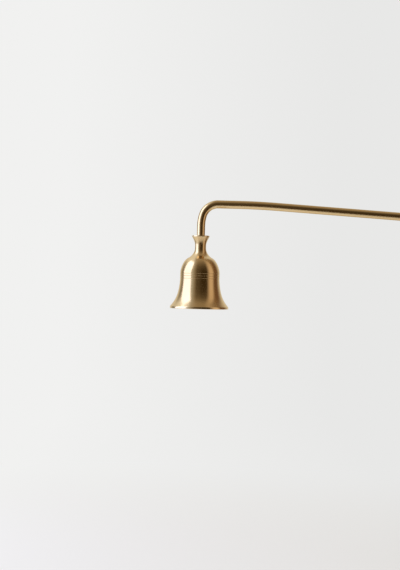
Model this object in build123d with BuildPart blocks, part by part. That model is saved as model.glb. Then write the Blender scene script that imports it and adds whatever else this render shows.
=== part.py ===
from build123d import *
import os
from math import radians, sqrt, tan

# Candle snuffer: a turned brass bell on a bent brass rod. The rod's end sits in a socket in the
# bell's collar and goes on as a threaded spigot through the neck, where a washer and a nut inside
# the crown draw the bell up against it.
# Millimetres. The origin is the centre of the bell's mouth, +Z runs up the bell's axis, and the
# handle reaches out along +X.

# Bell, outside, from the rim up
mouth_d = 33.0
rim_lip_h = 1.1  # upright edge round the mouth
skirt_h = 15.4
band_d = 22.25  # straight band that the grooves are turned in
groove_count = 3
groove_pitch = 1.4
groove_r = 0.25  # half-round groove
band_margin = 0.5  # band left beyond the outer grooves
dome_h = 14.0  # dome and the throat that draws in to the neck
neck_d = 6.25
neck_h = 1.5
flare_h = 4.9  # neck opening out to the collar
collar_d = 9.9
collar_lip_h = 0.6
edge_round = 0.2  # rim and collar edges

# Curves of the bell, as (share of the way in or out, share of the way up) for each control point
skirt_shares = ((0.36, 0.17), (0.88, 0.33))
dome_shares = ((0.0, 0.13), (0.19, 0.50), (0.69, 0.64), (1.0, 0.78))
turn_share = 0.75  # where dome turns into throat, between its second and third control points
flare_shares = ((0.0, 0.37), (0.60, 0.735))
crown_shares = ((0.0, 0.42), (0.40, 0.85))

# Bell, inside
rim_wall = 1.15
band_wall = 1.6
throat_t = 8.5  # solid metal from the washer's seat up to the neck
seat_margin = 1.1  # flat seat beyond the washer's edge
socket_depth = 3.0
socket_break = 0.3  # bevel at the socket's mouth

# Handle rod, from the collar out
rod_d = 4.55
stem_h = 5.3  # straight rod showing between the collar and the bend
ease_r = 24.0  # slow start of the bend
ease_angle = 14
bend_r = 8.95
bend_angle = 90  # from the stem to the handle, slow start and all
lead_len = 12.0  # straight and level after the bend
bow_r = 380.0  # slow droop of the handle
bow_angle = 3.1
tail_len = 145.0  # straight grip
tip_round = 1.6
rod_break = 0.2  # bevel on the rod's shoulder

# Threaded spigot
spigot_d = 3.0
thread_pitch = 0.5
thread_depth = 0.31
thread_len = 8.0
spigot_stick_out = 1.2  # thread showing past the nut
half_share = 0.5

# Washer and nut
washer_d = 9.0
washer_t = 0.8
washer_round = 0.15
nut_af = 5.5  # across flats
nut_h = 2.4
nut_sides = 6
nut_bevel_angle = 30
nut_face_share = 0.95  # bevelled face, as a share of the width across flats

# Clearances on the radius, and one overrun for cuts and joins
socket_clearance = 0.05
bore_clearance = 0.1
washer_clearance = 0.1
thread_clearance = 0.06
overrun = 0.5

# Radii
mouth_r = mouth_d / 2
rim_inner_r = mouth_r - rim_wall
band_r = band_d / 2
band_inner_r = band_r - band_wall
neck_r = neck_d / 2
collar_r = collar_d / 2
rod_r = rod_d / 2
spigot_r = spigot_d / 2
socket_r = rod_r + socket_clearance
bore_r = spigot_r + bore_clearance
washer_r = washer_d / 2
washer_hole_r = spigot_r + washer_clearance
seat_r = washer_r + seat_margin

# Heights above the rim
band_h = (groove_count - 1) * groove_pitch + 2 * band_margin
band_low_z = rim_lip_h + skirt_h
band_high_z = band_low_z + band_h
neck_low_z = band_high_z + dome_h
neck_high_z = neck_low_z + neck_h
lip_low_z = neck_high_z + flare_h
bell_h = lip_low_z + collar_lip_h
socket_floor_z = bell_h - socket_depth
seat_z = neck_low_z - throat_t
washer_low_z = seat_z - washer_t
nut_low_z = washer_low_z - nut_h
spigot_low_z = nut_low_z - spigot_stick_out
ease_low_z = bell_h + stem_h


def eased(start, end, shares):
    """Control points of a curve from start to end, each at its share of the way across and up."""
    inner = [
        (start[0] + (end[0] - start[0]) * across, start[1] + (end[1] - start[1]) * up)
        for across, up in shares
    ]
    return [start, *inner, end]


def thread_flanks(grow):
    """Outline of the thread from the spigot's end up: rings of root and crest, moved out by grow."""
    points = []
    for turn in range(round(thread_len / thread_pitch)):
        root_z = spigot_low_z + turn * thread_pitch
        points.append((spigot_r - thread_depth + grow, root_z))
        points.append((spigot_r + grow, root_z + thread_pitch * half_share))
    return points


# Bell: one section, turned about the axis
with BuildPart() as bell:
    with BuildSketch(Plane.XZ):
        with BuildLine():
            # Outside, from the mouth up to the collar
            Polyline((rim_inner_r, 0), (mouth_r, 0), (mouth_r, rim_lip_h))
            Bezier(*eased((mouth_r, rim_lip_h), (band_r, band_low_z), skirt_shares))
            Line((band_r, band_low_z), (band_r, band_high_z))
            dome = eased((band_r, band_high_z), (neck_r, neck_low_z), dome_shares)
            turn = eased(dome[2], dome[3], [(turn_share, turn_share)])[1]
            Bezier(*dome[:3], turn)
            Bezier(turn, *dome[3:])
            Line((neck_r, neck_low_z), (neck_r, neck_high_z))
            Bezier(*eased((neck_r, neck_high_z), (collar_r, lip_low_z), flare_shares))
            # Collar, socket and bore, down to the washer's seat
            Polyline(
                (collar_r, lip_low_z),
                (collar_r, bell_h),
                (socket_r + socket_break, bell_h),
                (socket_r, bell_h - socket_break),
                (socket_r, socket_floor_z),
                (bore_r, socket_floor_z),
                (bore_r, seat_z),
                (seat_r, seat_z),
            )
            # Hollow, back down to the rim
            Bezier(*reversed(eased((band_inner_r, band_high_z), (seat_r, seat_z), crown_shares)))
            Line((band_inner_r, band_high_z), (band_inner_r, band_low_z))
            Bezier(*reversed(eased((rim_inner_r, 0), (band_inner_r, band_low_z), skirt_shares)))
        make_face()
    revolve(axis=Axis.Z)
    rim_edges = bell.edges().filter_by(GeomType.CIRCLE).group_by(SortBy.RADIUS)[-1]
    collar_edge = bell.faces().sort_by(Axis.Z)[-1].outer_wire().edges()
    fillet(rim_edges + collar_edge, edge_round)
    with BuildSketch(Plane.XZ):
        with Locations((band_r, band_low_z + band_h / 2)):
            with GridLocations(groove_pitch, groove_pitch, 1, groove_count):
                Circle(groove_r)
    revolve(axis=Axis.Z, mode=Mode.SUBTRACT)

# Handle rod: stem, bend and drooping grip in one sweep, with the spigot turned on its lower end
with BuildPart() as handle_rod:
    with BuildLine(Plane.XZ):
        stem = Line((0, socket_floor_z), (0, ease_low_z))
        ease = JernArc(stem @ 1, stem % 1, ease_r, -ease_angle)
        bend = JernArc(ease @ 1, ease % 1, bend_r, ease_angle - bend_angle)
        lead = Line(bend @ 1, bend @ 1 + (bend % 1) * lead_len)
        bow = JernArc(lead @ 1, lead % 1, bow_r, -bow_angle)
        Line(bow @ 1, bow @ 1 + (bow % 1) * tail_len)
    with BuildSketch(Plane.XY.offset(socket_floor_z)):
        Circle(rod_r)
    sweep()
    fillet(handle_rod.faces().sort_by(Axis.X)[-1].edges(), tip_round)
    chamfer(handle_rod.faces().sort_by(Axis.Z)[0].edges(), rod_break)
    with BuildSketch(Plane.XZ):
        with BuildLine():
            Polyline(
                (0, spigot_low_z),
                *thread_flanks(0),
                (spigot_r, socket_floor_z + overrun),
                (0, socket_floor_z + overrun),
                close=True,
            )
        make_face()
    revolve(axis=Axis.Z)

# Washer: flat ring with its edges eased by the punch
with BuildPart() as crown_washer:
    with BuildSketch(Plane.XY.offset(washer_low_z)):
        Circle(washer_r)
        Circle(washer_hole_r, mode=Mode.SUBTRACT)
    extrude(amount=washer_t)
    washer_edges = crown_washer.edges().filter_by(GeomType.CIRCLE).group_by(SortBy.RADIUS)[-1]
    fillet(washer_edges, washer_round)

# Nut: hexagon with bevelled corners and a thread that follows the spigot's
with BuildPart() as lock_nut:
    with BuildSketch(Plane.XY.offset(nut_low_z)):
        RegularPolygon(nut_af / 2, side_count=nut_sides, major_radius=False)
    extrude(amount=nut_h)
    face_r = nut_af / 2 * nut_face_share
    corner_r = nut_af / sqrt(3) + overrun
    rise = (corner_r - face_r) * tan(radians(nut_bevel_angle))
    with BuildSketch(Plane.XZ):
        with BuildLine():
            Polyline(
                (0, nut_low_z),
                (face_r, nut_low_z),
                (corner_r, nut_low_z + rise),
                (corner_r, washer_low_z - rise),
                (face_r, washer_low_z),
                (0, washer_low_z),
                close=True,
            )
        make_face()
    revolve(axis=Axis.Z, mode=Mode.INTERSECT)
    with BuildSketch(Plane.XZ):
        with BuildLine():
            flanks = thread_flanks(thread_clearance)
            Polyline((0, spigot_low_z), *flanks, (0, flanks[-1][1]), close=True)
        make_face()
    revolve(axis=Axis.Z, mode=Mode.SUBTRACT)

os.makedirs("parts", exist_ok=True)
pieces = {
    "bell": bell,
    "handle_rod": handle_rod,
    "crown_washer": crown_washer,
    "lock_nut": lock_nut,
}
for name, piece in pieces.items():
    piece.part.label = name
    export_step(piece.part, f"parts/{name}.step")
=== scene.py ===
import math

import bpy
import numpy as np
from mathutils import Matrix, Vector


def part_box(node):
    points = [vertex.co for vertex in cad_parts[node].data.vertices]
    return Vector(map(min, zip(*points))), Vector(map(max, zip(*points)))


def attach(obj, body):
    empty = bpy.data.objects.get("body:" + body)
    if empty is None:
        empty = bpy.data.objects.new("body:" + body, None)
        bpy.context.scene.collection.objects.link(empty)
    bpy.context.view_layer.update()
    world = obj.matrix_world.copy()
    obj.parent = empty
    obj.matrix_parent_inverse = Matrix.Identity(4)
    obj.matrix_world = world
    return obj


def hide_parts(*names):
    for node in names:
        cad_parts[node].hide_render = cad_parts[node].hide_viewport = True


# Candle snuffer: a lathe-turned brass bell on a bent rod of drawn brass, drawn up by a washer and
# a nut inside its crown. Metres, in the part's own frame; the settings below are millimetres.
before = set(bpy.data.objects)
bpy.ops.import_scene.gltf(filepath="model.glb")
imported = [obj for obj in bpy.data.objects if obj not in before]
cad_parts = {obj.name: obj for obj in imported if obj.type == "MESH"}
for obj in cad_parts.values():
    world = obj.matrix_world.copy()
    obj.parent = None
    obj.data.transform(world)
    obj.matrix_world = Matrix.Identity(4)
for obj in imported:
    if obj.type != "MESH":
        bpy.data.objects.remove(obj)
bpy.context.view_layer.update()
mm = 0.001
print("frame loaded:", sorted(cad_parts))


def linearColour(hexColour):
    # sRGB to linear: v / 12.92 up to 0.04045, and ((v + 0.055) / 1.055) ^ 2.4 above it
    value = np.array([int(hexColour[k:k + 2], 16) for k in (1, 3, 5)]) / 255
    linear = np.where(value <= 0.04045, value / 12.92, ((value + 0.055) / 1.055) ** 2.4)
    return (*linear.tolist(), 1.0)


def addNode(tree, kind, inputs=None, **settings):
    # One node: its settings, then a value or another node's socket for each input. A Mix node's
    # inputs are 0 share, 2 and 3 numbers, 6 and 7 colours; its outputs are 0 number and 2 colour.
    node = tree.nodes.new(kind)
    for key, value in settings.items():
        setattr(node, key, value)
    for key, value in (inputs or {}).items():
        if isinstance(value, bpy.types.NodeSocket):
            tree.links.new(value, node.inputs[key])
        else:
            node.inputs[key].default_value = value
    return node


def lineRun(start, end, steps=6):
    # Straight run: points evenly spaced from start to end
    return np.linspace(start, end, steps + 1)


def eased(start, end, shares):
    # Control points from start to end, each at its share of the way across and up
    start, end = np.asarray(start, float), np.asarray(end, float)
    return np.vstack([start, start + (end - start) * np.asarray(shares), end])


def curveRun(points, steps):
    # Cubic curve: its four control points weighted (1-t)^3, 3t(1-t)^2, 3t^2(1-t) and t^3
    t = np.linspace(0, 1, steps + 1)[:, None]
    weights = [(1 - t) ** 3, 3 * t * (1 - t) ** 2, 3 * t ** 2 * (1 - t), t ** 3]
    return sum(weight * point for weight, point in zip(weights, points))


def trimmedRun(run, cutStart, cutEnd):
    # The run without a length at each end, measured along it
    along = np.append(0, np.cumsum(np.linalg.norm(np.diff(run, axis=0), axis=1)))
    kept = np.unique(np.clip(along, cutStart, along[-1] - cutEnd))
    return np.column_stack([np.interp(kept, along, run[:, axis]) for axis in (0, 1)])


def closedOutline(runs, rounds, steps=5):
    # Runs joined end to end into a ring. Each corner is cut back by its round and bridged by
    # (1-t)^2 a + 2t(1-t) corner + t^2 b
    t = np.linspace(0, 1, steps + 2)[1:-1, None]
    kept = [trimmedRun(run, rounds[k - 1], rounds[k]) for k, run in enumerate(runs)]
    outline = []
    for k, run in enumerate(kept):
        follower = kept[(k + 1) % len(kept)]
        if rounds[k] > 0:
            bridge = (1 - t) ** 2 * run[-1] + 2 * t * (1 - t) * runs[k][-1] + t ** 2 * follower[0]
            outline += [run, bridge]
        else:
            outline.append(run[:-1])
    return np.vstack(outline)


def alongOutline(outline):
    # Distance from the first point to each point of a ring, and the length of the whole ring
    steps = np.linalg.norm(np.roll(outline, -1, axis=0) - outline, axis=1)
    return np.append(0, np.cumsum(steps))[:-1], steps.sum()


def edgeTurn(outline, reach):
    # How far the ring turns within reach of each point, in radians, by a bell-shaped weight:
    # above zero on an outer edge, below zero in a groove or inner corner
    along, total = alongOutline(outline)
    ahead = np.roll(outline, -1, axis=0) - outline
    heading = np.arctan2(ahead[:, 1], ahead[:, 0])
    turn = (heading - np.roll(heading, 1) + math.pi) % (2 * math.pi) - math.pi
    apart = (along[:, None] - along[None, :] + total / 2) % total - total / 2
    return np.exp(-0.5 * (apart / reach) ** 2) @ turn


def revolved(outline, segments):
    # Outline (r, z) turned about Z: (r cos a, r sin a, z)
    angle = np.arange(segments) * 2 * math.pi / segments
    x = outline[:, :1] * np.cos(angle)
    y = outline[:, :1] * np.sin(angle)
    return np.stack([x, y, np.broadcast_to(outline[:, 1:], x.shape)], axis=-1)


def gridPiece(name, grid, along, ring=False, poles=(), attributes=None):
    # Mesh on a grid of points in millimetres: rows follow the profile and columns go round and
    # close. A ring closes its rows too; otherwise poles, if given, close the first and last row.
    rows, columns = grid.shape[:2]
    i, j = np.meshgrid(np.arange(rows if ring else rows - 1), np.arange(columns), indexing="ij")
    i, j = i.ravel(), j.ravel()
    nextRow, nextColumn = (i + 1) % rows, (j + 1) % columns
    quads = np.stack([i * columns + j, i * columns + nextColumn,
                      nextRow * columns + nextColumn, nextRow * columns + j], axis=1)
    u = np.stack([j, j + 1, j + 1, j], axis=1) / columns
    v = np.stack([along[i], along[i], along[i + 1], along[i + 1]], axis=1)
    faces = quads.tolist()
    uv = [np.stack([u, v], axis=-1).reshape(-1, 2)]
    points = [grid.reshape(-1, 3)]
    if len(poles):
        points.append(np.asarray(poles, float))
        k = np.arange(columns)
        after = (k + 1) % columns
        first, last = np.full(columns, rows * columns), np.full(columns, rows * columns + 1)
        end = (rows - 1) * columns
        faces += np.stack([first, after, k], axis=1).tolist()
        faces += np.stack([last, end + k, end + after], axis=1).tolist()
        # On the map a pole lies halfway between the two rim corners of its triangle
        for level, corners in ((along[0], (0.5, 1, 0)), (along[rows - 1], (0.5, 0, 1))):
            fan = (k[:, None] + np.array(corners)) / columns
            uv.append(np.stack([fan, np.full(fan.shape, level)], axis=-1).reshape(-1, 2))
    mesh = bpy.data.meshes.new(name)
    mesh.from_pydata((np.vstack(points) * mm).tolist(), [], faces)
    uvMap = mesh.uv_layers.new(name="UVMap")
    uvMap.uv.foreach_set("vector", np.vstack(uv).astype(np.float32).ravel())
    for key, values in (attributes or {}).items():
        flat = values.reshape(rows * columns, -1)
        padded = np.vstack([flat, np.repeat(flat[[0, -1]], len(poles) // 2, axis=0)])
        kind, field = ("FLOAT", "value") if flat.shape[1] == 1 else ("FLOAT_VECTOR", "vector")
        layer = mesh.attributes.new(key, kind, "POINT")
        layer.data.foreach_set(field, padded.astype(np.float32).ravel())
    mesh.shade_smooth()
    mesh.validate()
    piece = bpy.data.objects.new(name, mesh)
    bpy.context.scene.collection.objects.link(piece)
    return piece


def dress(piece, material, node):
    # Gives a shaped piece its finish and its place in the part
    piece.data.materials.append(material)
    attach(piece, "root")
    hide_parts(node)
    print(piece.name, "stands for", node, "with", len(piece.data.polygons), "faces")


# Finishes
def bareMetal(name):
    # What each finish starts from: the material, its tree and shader, and the place on the piece
    material = bpy.data.materials.new(name)
    material.use_nodes = True
    tree = material.node_tree
    shader = tree.nodes["Principled BSDF"]
    shader.inputs["Metallic"].default_value = 1.0
    return material, tree, shader, addNode(tree, "ShaderNodeTexCoord").outputs["Object"]


def turnedBrass():
    # Cast yellow brass, turned on a lathe and left satin: rings round the bell smear highlights up
    # and down, edges are rubbed brighter, grooves hold a brown tarnish, and the hollow is sooted.
    finish = {
        "brass": "#E8CDA0",
        "deepBrass": "#E0C08C",
        "rubbedEdge": "#F0DCB6",
        "tarnish": "#8A6332",
        "sooted": "#7A5C36",
        "edgeOn": "#F1EADA",  # at a glance along it the metal stays warm
        "rubTurn": (0.25, 1.2),  # radians an edge turns through where its wear starts and is full
        "rubShare": 0.7,
        "grooveTarnish": 0.6,
        "sootShare": (0.55, 0.95),  # where the hollow is clean and where it is smudged
        "roughness": (0.16, 0.23),  # clean and smudged
        "grooveRoughness": 0.3,  # added at the bottom of a groove
        "hollowRoughness": 0.25,  # added in the hollow
        "ringPull": 0.55,  # how far the rings draw out a highlight
        "ringPullTurn": 0.25,  # a quarter turn, so that it is drawn out across the rings
        "cloudSize": 11.0,
        "ringSpacing": 0.9,  # real tool marks are about 0.1 mm apart, drawn coarser so they show
        "ringHeight": 0.02,
        "smudgeSize": 6.0,
        "smudgeLevel": (0.3, 0.7),  # noise at which a smudge starts and is full
    }
    material, tree, shader, place = bareMetal("satinTurnedBrass")
    lathe = addNode(tree, "ShaderNodeAttribute", attribute_name="latheCoord").outputs["Vector"]
    edge = addNode(tree, "ShaderNodeAttribute", attribute_name="edgeTurn").outputs["Fac"]
    inside = addNode(tree, "ShaderNodeAttribute", attribute_name="inside").outputs["Fac"]
    groove = addNode(tree, "ShaderNodeAttribute", attribute_name="groove").outputs["Fac"]

    # Slow clouds of a deeper tone, as old polish leaves them
    cloud = addNode(tree, "ShaderNodeTexNoise", {
        "Vector": place, "Scale": 1 / (finish["cloudSize"] * mm), "Detail": 4.0})
    tone = addNode(tree, "ShaderNodeMix", {
        0: cloud.outputs["Fac"], 6: linearColour(finish["brass"]),
        7: linearColour(finish["deepBrass"])}, data_type="RGBA")
    # Rubbed outer edges and tarnished grooves
    rub = addNode(tree, "ShaderNodeMapRange", {
        "Value": edge, "From Min": finish["rubTurn"][0], "From Max": finish["rubTurn"][1],
        "To Max": finish["rubShare"]})
    rubbed = addNode(tree, "ShaderNodeMix", {
        0: rub.outputs[0], 6: tone.outputs[2], 7: linearColour(finish["rubbedEdge"])},
        data_type="RGBA")
    dull = addNode(tree, "ShaderNodeMath", {
        0: groove, 1: finish["grooveTarnish"]}, operation="MULTIPLY")
    worn = addNode(tree, "ShaderNodeMix", {
        0: dull.outputs[0], 6: rubbed.outputs[2], 7: linearColour(finish["tarnish"])},
        data_type="RGBA")
    # Smudges from handling, which also break up the soot in the hollow
    smudge = addNode(tree, "ShaderNodeTexNoise", {
        "Vector": place, "Scale": 1 / (finish["smudgeSize"] * mm), "Detail": 3.0,
        "Distortion": 0.6})
    clean, full = finish["smudgeLevel"]
    patch = addNode(tree, "ShaderNodeMapRange", {
        "Value": smudge.outputs["Fac"], "From Min": clean, "From Max": full,
        "To Min": finish["sootShare"][0], "To Max": finish["sootShare"][1]})
    soot = addNode(tree, "ShaderNodeMath", {0: inside, 1: patch.outputs[0]}, operation="MULTIPLY")
    colour = addNode(tree, "ShaderNodeMix", {
        0: soot.outputs[0], 6: worn.outputs[2], 7: linearColour(finish["sooted"])},
        data_type="RGBA")
    tree.links.new(colour.outputs[2], shader.inputs["Base Color"])

    # Satin that varies with the smudges, rougher in the hollow and in the grooves
    satin = addNode(tree, "ShaderNodeMapRange", {
        "Value": smudge.outputs["Fac"], "From Min": clean, "From Max": full,
        "To Min": finish["roughness"][0], "To Max": finish["roughness"][1]})
    hollow = addNode(tree, "ShaderNodeMath", {
        0: inside, 1: finish["hollowRoughness"], 2: satin.outputs[0]}, operation="MULTIPLY_ADD")
    rough = addNode(tree, "ShaderNodeMath", {
        0: groove, 1: finish["grooveRoughness"], 2: hollow.outputs[0]}, operation="MULTIPLY_ADD")
    tree.links.new(rough.outputs[0], shader.inputs["Roughness"])

    # Tool marks: uneven rings along the profile
    split = addNode(tree, "ShaderNodeSeparateXYZ", {0: lathe})
    ringAt = addNode(tree, "ShaderNodeMath", {
        0: split.outputs["Z"], 1: 1 / finish["ringSpacing"]}, operation="MULTIPLY")
    rings = addNode(tree, "ShaderNodeTexNoise", {
        "W": ringAt.outputs[0], "Scale": 1.0, "Detail": 3.0, "Roughness": 0.65},
        noise_dimensions="1D")
    bump = addNode(tree, "ShaderNodeBump", {
        "Height": rings.outputs["Fac"], "Strength": 1.0,
        "Distance": finish["ringHeight"] * mm})
    tree.links.new(bump.outputs[0], shader.inputs["Normal"])
    tangent = addNode(tree, "ShaderNodeTangent", direction_type="UV_MAP", uv_map="UVMap")
    tree.links.new(tangent.outputs[0], shader.inputs["Tangent"])
    shader.inputs["Specular Tint"].default_value = linearColour(finish["edgeOn"])
    shader.inputs["Anisotropic"].default_value = finish["ringPull"]
    shader.inputs["Anisotropic Rotation"].default_value = finish["ringPullTurn"]
    return material


def drawnBrass():
    # Yellow brass rod, pulled through a die and buffed: a clear gloss with fine streaks down its
    # length, and soft smudges where it is held.
    finish = {
        "brass": "#E9CFA2",
        "deepBrass": "#E1C28F",
        "edgeOn": "#A68E55",  # seen along the rod it keeps a warm colour
        "roughness": (0.13, 0.2),  # clean and smudged
        "cloudSize": 14.0,
        "smudgeSize": 7.0,
        "smudgeLevel": (0.35, 0.7),  # noise at which a smudge starts and is full
        "lineSpacing": 0.5,  # real die lines are finer than 0.1 mm, drawn coarser so they show
        "lineLength": 40.0,
        "lineHeight": 0.01,
        "lineLevel": (0.35, 0.65),  # noise in the smoothest and the roughest line
        "streak": 0.08,  # change of roughness from line to line
        "glance": (0.75, 0.92),  # Layer Weight's Facing where the dulling starts and is full
        "glanceRoughness": 0.45,
        "linePull": 0.3,  # how far the lines draw out a highlight
    }
    material, tree, shader, place = bareMetal("buffedDrawnBrass")
    stock = addNode(tree, "ShaderNodeAttribute", attribute_name="stockCoord").outputs["Vector"]
    cloud = addNode(tree, "ShaderNodeTexNoise", {
        "Vector": place, "Scale": 1 / (finish["cloudSize"] * mm), "Detail": 4.0})
    tone = addNode(tree, "ShaderNodeMix", {
        0: cloud.outputs["Fac"], 6: linearColour(finish["brass"]),
        7: linearColour(finish["deepBrass"])}, data_type="RGBA")
    tree.links.new(tone.outputs[2], shader.inputs["Base Color"])
    smudge = addNode(tree, "ShaderNodeTexNoise", {
        "Vector": place, "Scale": 1 / (finish["smudgeSize"] * mm), "Detail": 3.0,
        "Distortion": 0.8})
    satin = addNode(tree, "ShaderNodeMapRange", {
        "Value": smudge.outputs["Fac"], "From Min": finish["smudgeLevel"][0],
        "From Max": finish["smudgeLevel"][1], "To Min": finish["roughness"][0],
        "To Max": finish["roughness"][1]})
    stretched = addNode(tree, "ShaderNodeVectorMath", {
        0: stock, 1: (1 / finish["lineSpacing"], 1 / finish["lineSpacing"],
                      1 / finish["lineLength"])}, operation="MULTIPLY")
    lines = addNode(tree, "ShaderNodeTexNoise", {
        "Vector": stretched.outputs[0], "Scale": 1.0, "Detail": 2.0})
    streaks = addNode(tree, "ShaderNodeMapRange", {
        "Value": lines.outputs["Fac"], "From Min": finish["lineLevel"][0],
        "From Max": finish["lineLevel"][1], "To Min": -finish["streak"] / 2,
        "To Max": finish["streak"] / 2})
    streaked = addNode(tree, "ShaderNodeMath", {0: satin.outputs[0], 1: streaks.outputs[0]})
    # Looked along, the fine lines no longer mirror
    facing = addNode(tree, "ShaderNodeLayerWeight", {"Blend": 0.5}).outputs["Facing"]
    glance = addNode(tree, "ShaderNodeMapRange", {
        "Value": facing, "From Min": finish["glance"][0], "From Max": finish["glance"][1],
        "To Max": finish["glanceRoughness"]})
    rough = addNode(tree, "ShaderNodeMath", {0: streaked.outputs[0], 1: glance.outputs[0]})
    tree.links.new(rough.outputs[0], shader.inputs["Roughness"])
    bump = addNode(tree, "ShaderNodeBump", {
        "Height": lines.outputs["Fac"], "Strength": 1.0,
        "Distance": finish["lineHeight"] * mm})
    tree.links.new(bump.outputs[0], shader.inputs["Normal"])
    tangent = addNode(tree, "ShaderNodeTangent", direction_type="UV_MAP", uv_map="UVMap")
    tree.links.new(tangent.outputs[0], shader.inputs["Tangent"])
    shader.inputs["Anisotropic"].default_value = finish["linePull"]
    shader.inputs["Specular Tint"].default_value = linearColour(finish["edgeOn"])
    return material


def machinedBrass():
    # Free-cutting brass off a bar lathe: a little redder and duller, with grain from the cutter.
    finish = {
        "brass": "#DDB878",
        "tarnish": "#A87C44",
        "roughness": (0.22, 0.35),  # bright and tarnished
        "cloudSize": 2.5,
        "cloudLevel": (0.3, 0.7),  # noise in the brightest and the dullest patch
        "grainSize": 0.25,
        "grainHeight": 0.002,
    }
    material, tree, shader, place = bareMetal("machinedFastenerBrass")
    cloud = addNode(tree, "ShaderNodeTexNoise", {
        "Vector": place, "Scale": 1 / (finish["cloudSize"] * mm), "Detail": 5.0})
    tone = addNode(tree, "ShaderNodeMix", {
        0: cloud.outputs["Fac"], 6: linearColour(finish["brass"]),
        7: linearColour(finish["tarnish"])}, data_type="RGBA")
    tree.links.new(tone.outputs[2], shader.inputs["Base Color"])
    satin = addNode(tree, "ShaderNodeMapRange", {
        "Value": cloud.outputs["Fac"], "From Min": finish["cloudLevel"][0],
        "From Max": finish["cloudLevel"][1], "To Min": finish["roughness"][0],
        "To Max": finish["roughness"][1]})
    tree.links.new(satin.outputs[0], shader.inputs["Roughness"])
    grain = addNode(tree, "ShaderNodeTexNoise", {
        "Vector": place, "Scale": 1 / (finish["grainSize"] * mm), "Detail": 2.0})
    bump = addNode(tree, "ShaderNodeBump", {
        "Height": grain.outputs["Fac"], "Strength": 1.0,
        "Distance": finish["grainHeight"] * mm})
    tree.links.new(bump.outputs[0], shader.inputs["Normal"])
    return material


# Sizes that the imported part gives, in millimetres
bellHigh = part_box("bell")[1] / mm
rodLow, rodHigh = (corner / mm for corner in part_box("handle_rod"))
washerLow, washerHigh = (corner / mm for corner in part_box("crown_washer"))
nutLow, nutHigh = (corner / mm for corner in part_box("lock_nut"))


# Bell: one closed outline turned about the axis
bell = {
    "lipHeight": 1.1,
    "bandLow": 16.5,
    "bandHigh": 20.3,
    "bandR": 11.125,
    "neckLow": 34.3,
    "neckHigh": 35.8,
    "neckR": 3.125,
    "collarR": 4.95,
    "collarLip": 0.6,
    "skirtShares": ((0.36, 0.17), (0.88, 0.33)),
    "domeShares": ((0.0, 0.13), (0.19, 0.50), (0.69, 0.64), (1.0, 0.78)),
    "turnShare": 0.75,
    "flareShares": ((0.0, 0.37), (0.60, 0.735)),
    "crownShares": ((0.0, 0.42), (0.40, 0.85)),
    "grooveAt": (17.0, 18.4, 19.8),
    "grooveDepth": 0.045,
    "grooveHalf": 0.14,
    "rimWall": 1.15,
    "bandWall": 1.6,
    "seatR": 5.6,
    "socketR": 2.325,
    "socketDepth": 3.0,
    "socketBreak": 0.3,
    "boreR": 1.6,
    "edgeRound": 0.2,  # rim and collar
    "flareRound": 0.08,  # where the flare meets the collar's lip
    "breakRound": 0.06,  # both ends of the socket's bevel
    "cornerRound": 0.1,  # socket's floor, bore's lower end, rim's inner edge
    "boreRound": 0.05,  # bore's upper end
    "seatRound": 0.3,  # from the seat into the crown
    "skirtSteps": 70,
    "bandSteps": 110,
    "domeSteps": 46,
    "throatSteps": 30,
    "flareSteps": 30,
    "crownSteps": 36,
    "hollowSteps": 50,
    "segments": 168,
    "wearReach": 0.35,  # length over which an edge's turn is summed for its wear
}


def grooveBand():
    # Straight band with eased grooves: r = band radius - depth cos^2(pi dz / 2 half) near each
    z = np.linspace(bell["bandLow"], bell["bandHigh"], bell["bandSteps"] + 1)
    offset = (z[:, None] - np.array(bell["grooveAt"])) / bell["grooveHalf"]
    cut = np.where(np.abs(offset) < 1, np.cos(offset * math.pi / 2) ** 2, 0).sum(axis=1)
    return np.column_stack([bell["bandR"] - bell["grooveDepth"] * cut, z])


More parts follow.
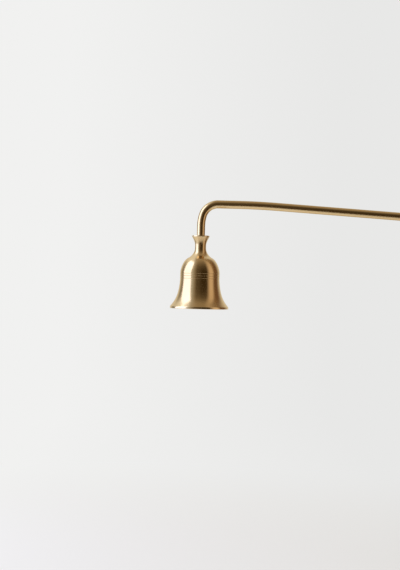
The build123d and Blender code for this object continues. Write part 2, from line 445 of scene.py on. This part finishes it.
def bellOutline():
    # From the rim's inner edge out, up the outside, down the socket and bore, and back inside:
    # each run of points with the round at its end
    mouthR, top = bellHigh.x, bellHigh.z
    rimR = mouthR - bell["rimWall"]
    innerR = bell["bandR"] - bell["bandWall"]
    seat = washerHigh.z
    lipTop, lipLow = (mouthR, bell["lipHeight"]), (bell["collarR"], top - bell["collarLip"])
    bandLow, bandHigh = (bell["bandR"], bell["bandLow"]), (bell["bandR"], bell["bandHigh"])
    neckLow, neckHigh = (bell["neckR"], bell["neckLow"]), (bell["neckR"], bell["neckHigh"])
    socketR, floor = bell["socketR"], top - bell["socketDepth"]
    mouth = socketR + bell["socketBreak"]
    hollowLow, hollowHigh = (innerR, bell["bandLow"]), (innerR, bell["bandHigh"])
    dome = eased(bandHigh, neckLow, bell["domeShares"])
    turn = dome[2] + (dome[3] - dome[2]) * bell["turnShare"]
    crown = eased(hollowHigh, (bell["seatR"], seat), bell["crownShares"])
    skirtIn = eased((rimR, 0), hollowLow, bell["skirtShares"])
    outside = [
        (lineRun((rimR, 0), (mouthR, 0)), bell["edgeRound"]),
        (lineRun((mouthR, 0), lipTop), bell["edgeRound"]),
        (curveRun(eased(lipTop, bandLow, bell["skirtShares"]), bell["skirtSteps"]), 0),
        (grooveBand(), 0),
        (curveRun([*dome[:3], turn], bell["domeSteps"]), 0),
        (curveRun([turn, *dome[3:]], bell["throatSteps"]), 0),
        (lineRun(neckLow, neckHigh), 0),
        (curveRun(eased(neckHigh, lipLow, bell["flareShares"]), bell["flareSteps"]),
         bell["flareRound"]),
        (lineRun(lipLow, (bell["collarR"], top)), bell["edgeRound"]),
        (lineRun((bell["collarR"], top), (mouth, top)), bell["breakRound"]),
    ]
    within = [
        (lineRun((mouth, top), (socketR, top - bell["socketBreak"])), bell["breakRound"]),
        (lineRun((socketR, top - bell["socketBreak"]), (socketR, floor)), bell["cornerRound"]),
        (lineRun((socketR, floor), (bell["boreR"], floor)), bell["boreRound"]),
        (lineRun((bell["boreR"], floor), (bell["boreR"], seat)), bell["cornerRound"]),
        (lineRun((bell["boreR"], seat), (bell["seatR"], seat)), bell["seatRound"]),
        (curveRun(crown[::-1], bell["crownSteps"]), 0),
        (lineRun(hollowHigh, hollowLow), 0),
        (curveRun(skirtIn[::-1], bell["hollowSteps"]), bell["cornerRound"]),
    ]
    outline = closedOutline(*zip(*outside, *within))
    # Closed by itself, the outside has as many rows as stand before the socket's bevel
    started = len(closedOutline(*zip(*outside)))
    return outline, (np.arange(len(outline)) >= started).astype(float)


def turnedBell():
    # The outline turned about Z, with each point's wear, soot and depth in a groove
    outline, within = bellOutline()
    along, total = alongOutline(outline)
    segments = bell["segments"]
    grid = revolved(outline, segments)
    lathe = grid.copy()
    lathe[:, :, 2] = along[:, None]  # the profile unrolled, so rings follow the surface
    wear = edgeTurn(outline, bell["wearReach"])
    # Share of a groove's depth: what the band's outside lacks of its radius, over that depth
    r, z = outline.T
    onBand = (z > bell["bandLow"]) & (z < bell["bandHigh"]) & (within == 0)
    groove = np.where(onBand, (bell["bandR"] - r) / bell["grooveDepth"], 0)
    return gridPiece("turnedBell", grid, np.append(along, total), ring=True, attributes={
        "latheCoord": lathe,
        "edgeTurn": np.repeat(wear, segments),
        "inside": np.repeat(within, segments),
        "groove": np.repeat(groove, segments),
    })


dress(turnedBell(), turnedBrass(), "bell")


# Thread shared by the spigot and the nut: depth share of a triangle wave on a true helix
thread = {"pitch": 0.5, "depth": 0.31, "spigotR": 1.5, "length": 8.0, "play": 0.06}


def threadCut(height, angle):
    # 0 on the crest and 1 in the root, rising one pitch a turn
    phase = (height / thread["pitch"] - angle / (2 * math.pi)) % 1
    return np.abs(2 * phase - 1)


# Handle rod: a round section carried along stem, bend, lead, bow and tail
rod = {
    "easeLow": 46.6,  # where the stem starts to lean
    "easeR": 24.0,
    "easeAngle": 14,
    "bendR": 8.95,
    "leadLength": 12.0,
    "bowR": 380.0,
    "bowAngle": 3.1,
    "tailLength": 145.0,
    "tipRound": 1.6,
    "shoulderBreak": 0.2,
    "leadIn": 0.45,  # bevel that starts the thread
    "endFlat": 0.08,  # row inside the bevel that keeps the spigot's end flat
    "columns": 72,
    "threadRows": 200,
    "plainRows": 8,  # between the thread and the shoulder
    "stemSpacing": 0.9,
    "bendRows": 64,
    "gripSpacing": 1.6,
    "tipRows": 12,
    "rowGap": 0.4,  # least room before the next stretch of rows
    "pathSteps": 40000,
}


def rodLengths():
    # Lengths of stem, slow start of the bend, bend, lead, bow and tail: an arc is radius times turn
    ease, bow = math.radians(rod["easeAngle"]), math.radians(rod["bowAngle"])
    return [rod["easeLow"] - rodLow.z, rod["easeR"] * ease, rod["bendR"] * (math.pi / 2 - ease),
            rod["leadLength"], rod["bowR"] * bow, rod["tailLength"]]


def rodPath(along):
    # Heading falls in steady stretches from straight up to the tail's droop; the path is its sum:
    # x = sum cos(heading), z = sum sin(heading)
    lengths = rodLengths()
    leant = 90 - rod["easeAngle"]
    headings = np.radians([90, 90, leant, 0, 0, -rod["bowAngle"], -rod["bowAngle"]])
    fine = np.linspace(0, sum(lengths), rod["pathSteps"] + 1)
    heading = np.interp(fine, np.cumsum([0, *lengths]), headings)
    middle = (heading[1:] + heading[:-1]) / 2
    step = fine[1]
    x = np.append(0, np.cumsum(np.cos(middle)) * step)
    z = rodLow.z + np.append(0, np.cumsum(np.sin(middle)) * step)
    return (np.interp(along, fine, x), np.interp(along, fine, z), np.interp(along, fine, heading))


def bentRod():
    # A circle whose radius follows the stock, carried along the rod's path
    rodR, spigotR = rodHigh.y, thread["spigotR"]
    shoulder = bellHigh.z - bell["socketDepth"] - rodLow.z
    bendStart, bendEnd, length = (sum(rodLengths()[:count]) for count in (1, 3, 6))
    tipStart = length - rod["tipRound"]
    # Stations along the stock with their radius, closest where it is threaded or bent
    bent = np.concatenate([
        np.arange(shoulder + rod["shoulderBreak"], bendStart - rod["rowGap"], rod["stemSpacing"]),
        np.linspace(bendStart, bendEnd, rod["bendRows"]),
        np.arange(bendEnd + rod["gripSpacing"] / 2, tipStart - rod["rowGap"], rod["gripSpacing"]),
    ])
    quarter = np.linspace(0, math.pi / 2, rod["tipRows"])
    threadEnd = thread["length"] + thread["pitch"]
    spigot = np.concatenate([[-rod["endFlat"]], np.linspace(0, threadEnd, rod["threadRows"]),
                             np.linspace(threadEnd + thread["pitch"], shoulder, rod["plainRows"])])
    along = np.concatenate([spigot, [shoulder], bent, tipStart + rod["tipRound"] * np.sin(quarter)])
    radius = np.concatenate([
        np.full(len(spigot), spigotR), [rodR - rod["shoulderBreak"]], np.full(len(bent), rodR),
        rodR - rod["tipRound"] * (1 - np.cos(quarter))])
    angle = np.arange(rod["columns"]) * 2 * math.pi / rod["columns"]
    # Helical thread, faded out over its last turn and bevelled where it starts
    fade = np.clip((thread["length"] - along) / thread["pitch"] + 1, 0, 1)[:, None]
    cut = thread["depth"] * threadCut(along[:, None], angle) * fade
    bevel = spigotR - rod["leadIn"] + along[:, None]
    r = np.minimum(radius[:, None] - cut, bevel)
    x, z, heading = (values[:, None] for values in rodPath(along))
    # Section in the plane across the path: r cos a away from the bend's inside, r sin a along Y
    across = r * np.cos(angle)
    grid = np.stack([x + across * np.sin(heading), r * np.sin(angle),
                     z - across * np.cos(heading)], axis=-1)
    stock = np.stack([across, r * np.sin(angle), np.broadcast_to(along[:, None], r.shape)], axis=-1)
    ends = [(x[k, 0], 0, z[k, 0]) for k in (0, -1)]
    return gridPiece("bentRod", grid, along, poles=ends, attributes={"stockCoord": stock})


dress(bentRod(), drawnBrass(), "handle_rod")


# Washer: a stamped ring, its edges rolled over by the punch
washer = {"holeR": 1.6, "outerRound": 0.15, "holeRound": 0.08, "segments": 96}


def stampedWasher():
    # A rectangle with rounded corners turned about Z
    outerR, holeR = washerHigh.x, washer["holeR"]
    low, high = washerLow.z, washerHigh.z
    corners = [(holeR, low), (outerR, low), (outerR, high), (holeR, high)]
    rounds = [washer["outerRound"], washer["outerRound"], washer["holeRound"], washer["holeRound"]]
    runs = [lineRun(corners[k], corners[(k + 1) % 4]) for k in range(4)]
    outline = closedOutline(runs, rounds)
    along, total = alongOutline(outline)
    return gridPiece("crownWasher", revolved(outline, washer["segments"]),
                     np.append(along, total), ring=True)


fastenerBrass = machinedBrass()
dress(stampedWasher(), fastenerBrass, "crown_washer")


# Nut: hexagon bar with bevelled corners and a helical thread in its bore
nut = {
    "faceShare": 0.95,  # bevelled face, as a share of the flats' radius
    "bevelAngle": 30,
    "cornerPower": 90,  # higher is sharper
    "sideColumns": 24,
    "threadRows": 70,
    "faceRows": 9,
    "sharpAngle": 24,  # edges that turn by more than this are not smoothed
}


def hexagonNut():
    low, high = nutLow.z, nutHigh.z
    flatR = nutHigh.y
    angle = np.arange(6 * nut["sideColumns"]) * math.pi / (3 * nut["sideColumns"])
    # Hexagon with eased corners: r = flat radius / power mean of |cos| to the three flats
    flats = np.abs(np.cos(angle[:, None] - np.radians([30, 90, 150])))
    hexR = flatR / (flats ** nut["cornerPower"]).sum(axis=1) ** (1 / nut["cornerPower"])
    faceR = np.full(angle.shape, flatR * nut["faceShare"])
    rise = (hexR - faceR) * math.tan(math.radians(nut["bevelAngle"]))
    bore = thread["spigotR"] + thread["play"]
    z = np.linspace(high, low, nut["threadRows"])[:, None] * np.ones(angle.shape)
    boreR = bore - thread["depth"] * threadCut(z - rodLow.z, angle)
    mouthR = bore - np.clip(np.minimum(high - z, z - low), 0, thread["depth"])
    threaded = np.stack([np.maximum(boreR, mouthR), z], axis=-1)
    # Rows out along the lower face, up the flats and back in along the upper face
    share = np.linspace(0, 1, nut["faceRows"])[:, None]
    lowFace = np.stack([bore + (faceR - bore) * share, low + 0 * faceR * share], axis=-1)
    side = np.stack([hexR + 0 * share, low + rise + (high - low - 2 * rise) * share], axis=-1)
    highFace = np.stack([faceR + (bore - faceR) * share, high + 0 * faceR * share], axis=-1)
    rows = np.concatenate([lowFace[1:], side, highFace[:-1], threaded])
    grid = np.stack([rows[..., 0] * np.cos(angle), rows[..., 0] * np.sin(angle), rows[..., 1]],
                    axis=-1)
    along, total = alongOutline(rows[:, 0])
    piece = gridPiece("hexagonNut", grid, np.append(along, total), ring=True)
    piece.data.set_sharp_from_angle(angle=math.radians(nut["sharpAngle"]))
    return piece


dress(hexagonNut(), fastenerBrass, "lock_nut")


# Camera: level, looking along +Y just below the bell's band, tipped like the bell's axis
view = {
    "frameHeight": 570 * 0.565,  # the picture's height in pixels, at 0.565 mm a pixel at the bell
    "away": 680.0,
    "eyeX": 0.2,
    "eyeZ": 13.4,
    "roll": 1.45,
    "sensor": 36.0,
}

# Stage: a pale floor well below the bell, running out into a pale backdrop
stage = {
    "paleLeft": "#F1F1F0",  # painted lighter on the side towards the softbox, as its light would fall
    "paleRight": "#E8E8E7",
    "paleReach": 0.11,  # how far left and right of straight ahead the backdrop changes
    "floorZ": -150.0,
    "floorR": 800.0,
    "floorRings": 40,
    "floorSegments": 96,
    "fadeFrom": 60.0,  # from here out the paper gives way to the backdrop's own tone
    "fadeTo": 420.0,
    "ambient": "#FFFBF1",
    "ambientLevel": 0.86,
}
# Studio as metal sees it, by bearing from the camera's side in degrees, left below zero: a softbox
# at the left, a dark room in front, a lit wall at the right and the pale backdrop behind
roomTones = {
    "backdrop": "#ECEDED",
    "gap": "#959390",  # shaded gap between backdrop and softbox
    "glow": "#CED4DA",  # cloth round the softbox
    "halfShade": "#897E6E",
    "shade": "#574B3A",
    "darkRoom": "#3C301D",
    "wall": "#DAC4AC",  # lit plaster at the right
    "doorway": "#735942",
    "ceiling": "#F3F8FF",  # over the softbox; the walls turn to it with height
    "ceilingShade": "#A4957E",  # overhead and at the right
}
roomBearings = (
    (-180, "backdrop"), (-148, "backdrop"), (-131, "gap"), (-113, "gap"), (-104, "glow"),
    (-54, "glow"), (-29, "halfShade"), (-18, "shade"), (-6, "shade"), (12, "darkRoom"),
    (42, "darkRoom"), (62, "wall"), (78, "wall"), (93, "doorway"), (118, "doorway"),
    (151, "backdrop"), (180, "backdrop"),
)
# Heights in that room, as the sine of the rise above level
roomHeights = {
    "ceilingPower": 4.0,  # the ceiling's share is the sine to this power
    "gapMiddle": 0.05,
    "gapEdge": (0.25, 0.62),  # off its middle, where the gap starts to clear and is gone
    "shadeAxis": (1, -0.4, 0),  # the ceiling turns to its shade along this
    "shadeSpan": (-0.46, -0.28),
}
softbox = {
    "away": 0.6,  # metres
    "bearings": (-107, -53),  # from its back edge to its front edge
    "rises": (-12, 55),
    "radiance": 2.0,
    "colour": "#C4CFFF",
}


def paleFloor():
    # Disc of rings about the origin: (r cos a, r sin a, floor height)
    radius = np.linspace(stage["floorR"], 0, stage["floorRings"])
    outline = np.column_stack([radius, np.full(radius.shape, stage["floorZ"])])
    piece = gridPiece("paleFloor", revolved(outline, stage["floorSegments"]), radius[::-1])
    material = bpy.data.materials.new("mattWhitePaper")  # seamless paper: no gloss, soft shadow
    material.use_nodes = True
    material.cycles.emission_sampling = "NONE"
    tree = material.node_tree
    tree.nodes.remove(tree.nodes["Principled BSDF"])
    place = addNode(tree, "ShaderNodeTexCoord").outputs["Object"]
    flat = addNode(tree, "ShaderNodeVectorMath", {0: place, 1: (1, 1, 0)}, operation="MULTIPLY")
    away = addNode(tree, "ShaderNodeVectorMath", {0: flat.outputs[0]}, operation="LENGTH")
    fade = addNode(tree, "ShaderNodeMapRange", {
        "Value": away.outputs["Value"], "From Min": stage["fadeFrom"] * mm,
        "From Max": stage["fadeTo"] * mm}, interpolation_type="SMOOTHSTEP")
    ray = addNode(tree, "ShaderNodeLightPath").outputs
    seen = addNode(tree, "ShaderNodeMath", {
        0: ray["Is Camera Ray"], 1: ray["Is Transmission Ray"]}, operation="MAXIMUM")
    split = addNode(tree, "ShaderNodeSeparateXYZ", {0: place})
    # Backdrop tone painted lighter towards the softbox and darker away from it, on paper and glow
    # alike: painted light falloff
    reach = stage["paleReach"] * (stage["floorR"] + view["away"]) * mm
    side = addNode(tree, "ShaderNodeMapRange", {
        "Value": split.outputs["X"], "From Min": -reach, "From Max": reach})
    pale = addNode(tree, "ShaderNodeMix", {
        0: side.outputs[0], 6: linearColour(stage["paleLeft"]),
        7: linearColour(stage["paleRight"])}, data_type="RGBA")
    paper = addNode(tree, "ShaderNodeBsdfDiffuse", {"Color": pale.outputs[2]})
    # Far off, the camera sees the backdrop's own tone and metal sees past it to the room
    glow = addNode(tree, "ShaderNodeEmission", {"Color": pale.outputs[2]})
    clear = addNode(tree, "ShaderNodeBsdfTransparent")
    far = addNode(tree, "ShaderNodeMixShader", {
        0: seen.outputs[0], 1: clear.outputs[0], 2: glow.outputs[0]})
    both = addNode(tree, "ShaderNodeMixShader", {
        0: fade.outputs[0], 1: paper.outputs[0], 2: far.outputs[0]})
    tree.links.new(both.outputs[0], tree.nodes["Material Output"].inputs["Surface"])
    piece.data.materials.append(material)


def studioWorld():
    # Camera sees the pale backdrop, metal sees the room by bearing and height, the rest is ambient
    world = bpy.data.worlds.new("studio")
    bpy.context.scene.world = world
    world.use_nodes = True
    world.cycles.sampling_method = "NONE"
    tree = world.node_tree
    tree.nodes.clear()
    direction = addNode(tree, "ShaderNodeTexCoord").outputs["Generated"]
    split = addNode(tree, "ShaderNodeSeparateXYZ", {0: direction})
    front = addNode(tree, "ShaderNodeMath", {0: split.outputs["Y"], 1: -1.0}, operation="MULTIPLY")
    bearing = addNode(tree, "ShaderNodeMath", {
        0: split.outputs["X"], 1: front.outputs[0]}, operation="ARCTAN2")
    turn = addNode(tree, "ShaderNodeMapRange", {
        "Value": bearing.outputs[0], "From Min": -math.pi, "From Max": math.pi})
    ramp = addNode(tree, "ShaderNodeValToRGB", {"Fac": turn.outputs[0]})
    stops = ramp.color_ramp.elements
    while len(stops) < len(roomBearings):
        stops.new(0.5)
    for stop, (degrees, tone) in zip(stops, roomBearings):
        stop.position = degrees / 360 + 0.5
        stop.color = linearColour(roomTones[tone])
    # Share of the ceiling: a power of sin(rise); its bright part lies left and behind, where the
    # gap is a low strip
    steep = addNode(tree, "ShaderNodeMath", {
        0: split.outputs["Z"], 1: roomHeights["ceilingPower"]}, operation="POWER")
    above = addNode(tree, "ShaderNodeMath", {
        0: split.outputs["Z"], 1: roomHeights["gapMiddle"]}, operation="SUBTRACT")
    off = addNode(tree, "ShaderNodeMath", {0: above.outputs[0]}, operation="ABSOLUTE")
    clear = addNode(tree, "ShaderNodeMapRange", {
        "Value": off.outputs[0], "From Min": roomHeights["gapEdge"][0],
        "From Max": roomHeights["gapEdge"][1]}, interpolation_type="SMOOTHSTEP")
    across = addNode(tree, "ShaderNodeVectorMath", {
        0: direction, 1: roomHeights["shadeAxis"]}, operation="DOT_PRODUCT")
    shaded = addNode(tree, "ShaderNodeMapRange", {
        "Value": across.outputs["Value"], "From Min": roomHeights["shadeSpan"][0],
        "From Max": roomHeights["shadeSpan"][1]})
    lift = addNode(tree, "ShaderNodeMix", {
        0: shaded.outputs[0], 2: clear.outputs[0], 3: steep.outputs[0]}, data_type="FLOAT")
    overhead = addNode(tree, "ShaderNodeMix", {
        0: shaded.outputs[0], 6: linearColour(roomTones["ceiling"]),
        7: linearColour(roomTones["ceilingShade"])}, data_type="RGBA")
    room = addNode(tree, "ShaderNodeMix", {
        0: lift.outputs[0], 6: ramp.outputs["Color"], 7: overhead.outputs[2]}, data_type="RGBA")
    ray = addNode(tree, "ShaderNodeLightPath").outputs
    seen = addNode(tree, "ShaderNodeMath", {
        0: ray["Is Camera Ray"], 1: ray["Is Transmission Ray"]}, operation="MAXIMUM")
    # Backdrop seen by the camera is painted lighter towards the softbox and darker away from it:
    # painted light falloff
    side = addNode(tree, "ShaderNodeMapRange", {
        "Value": split.outputs["X"], "From Min": -stage["paleReach"],
        "From Max": stage["paleReach"]})
    pale = addNode(tree, "ShaderNodeMix", {
        0: side.outputs[0], 6: linearColour(stage["paleLeft"]),
        7: linearColour(stage["paleRight"])}, data_type="RGBA").outputs[2]
    ambient = addNode(tree, "ShaderNodeBackground", {
        "Color": linearColour(stage["ambient"]), "Strength": stage["ambientLevel"]})
    metal = addNode(tree, "ShaderNodeBackground", {"Color": room.outputs[2], "Strength": 1.0})
    backdrop = addNode(tree, "ShaderNodeBackground", {"Color": pale, "Strength": 1.0})
    unseen = addNode(tree, "ShaderNodeMixShader", {
        0: ray["Is Glossy Ray"], 1: ambient.outputs[0], 2: metal.outputs[0]})
    both = addNode(tree, "ShaderNodeMixShader", {
        0: seen.outputs[0], 1: unseen.outputs[0], 2: backdrop.outputs[0]})
    addNode(tree, "ShaderNodeOutputWorld", {"Surface": both.outputs[0]})


def keyLight():
    # Upright softbox: 2 away tan(half its bearings) wide, from away tan(lowest rise) to away
    # tan(highest rise) above the bell's middle; a flat lamp's power is pi radiance area
    away = softbox["away"]
    back, front = np.radians(softbox["bearings"])
    low, high = away * np.tan(np.radians(softbox["rises"])) + bellHigh.z * mm / 2
    light = bpy.data.lights.new("softbox", "AREA")
    light.shape = "RECTANGLE"
    light.size, light.size_y = 2 * away * math.tan((front - back) / 2), high - low
    light.energy = softbox["radiance"] * math.pi * light.size * light.size_y
    light.color = linearColour(softbox["colour"])[:3]
    holder = bpy.data.objects.new("softbox", light)
    bearing = (back + front) / 2
    holder.location = (away * math.sin(bearing), -away * math.cos(bearing), (low + high) / 2)
    holder.rotation_euler = (math.pi / 2, 0, bearing)
    holder.visible_camera = False
    bpy.context.scene.collection.objects.link(holder)


paleFloor()
studioWorld()
keyLight()
print("stage, room and softbox set")


cameraData = bpy.data.cameras.new("portrait")
cameraData.sensor_width = view["sensor"]
cameraData.lens = view["sensor"] * view["away"] / view["frameHeight"]
camera = bpy.data.objects.new("portrait", cameraData)
camera.location = (view["eyeX"] * mm, -view["away"] * mm, view["eyeZ"] * mm)
camera.rotation_euler = (math.pi / 2, -math.radians(view["roll"]), 0)
bpy.context.scene.collection.objects.link(camera)
bpy.context.scene.camera = camera
bpy.context.scene.view_settings.view_transform = "Standard"

print("camera set")
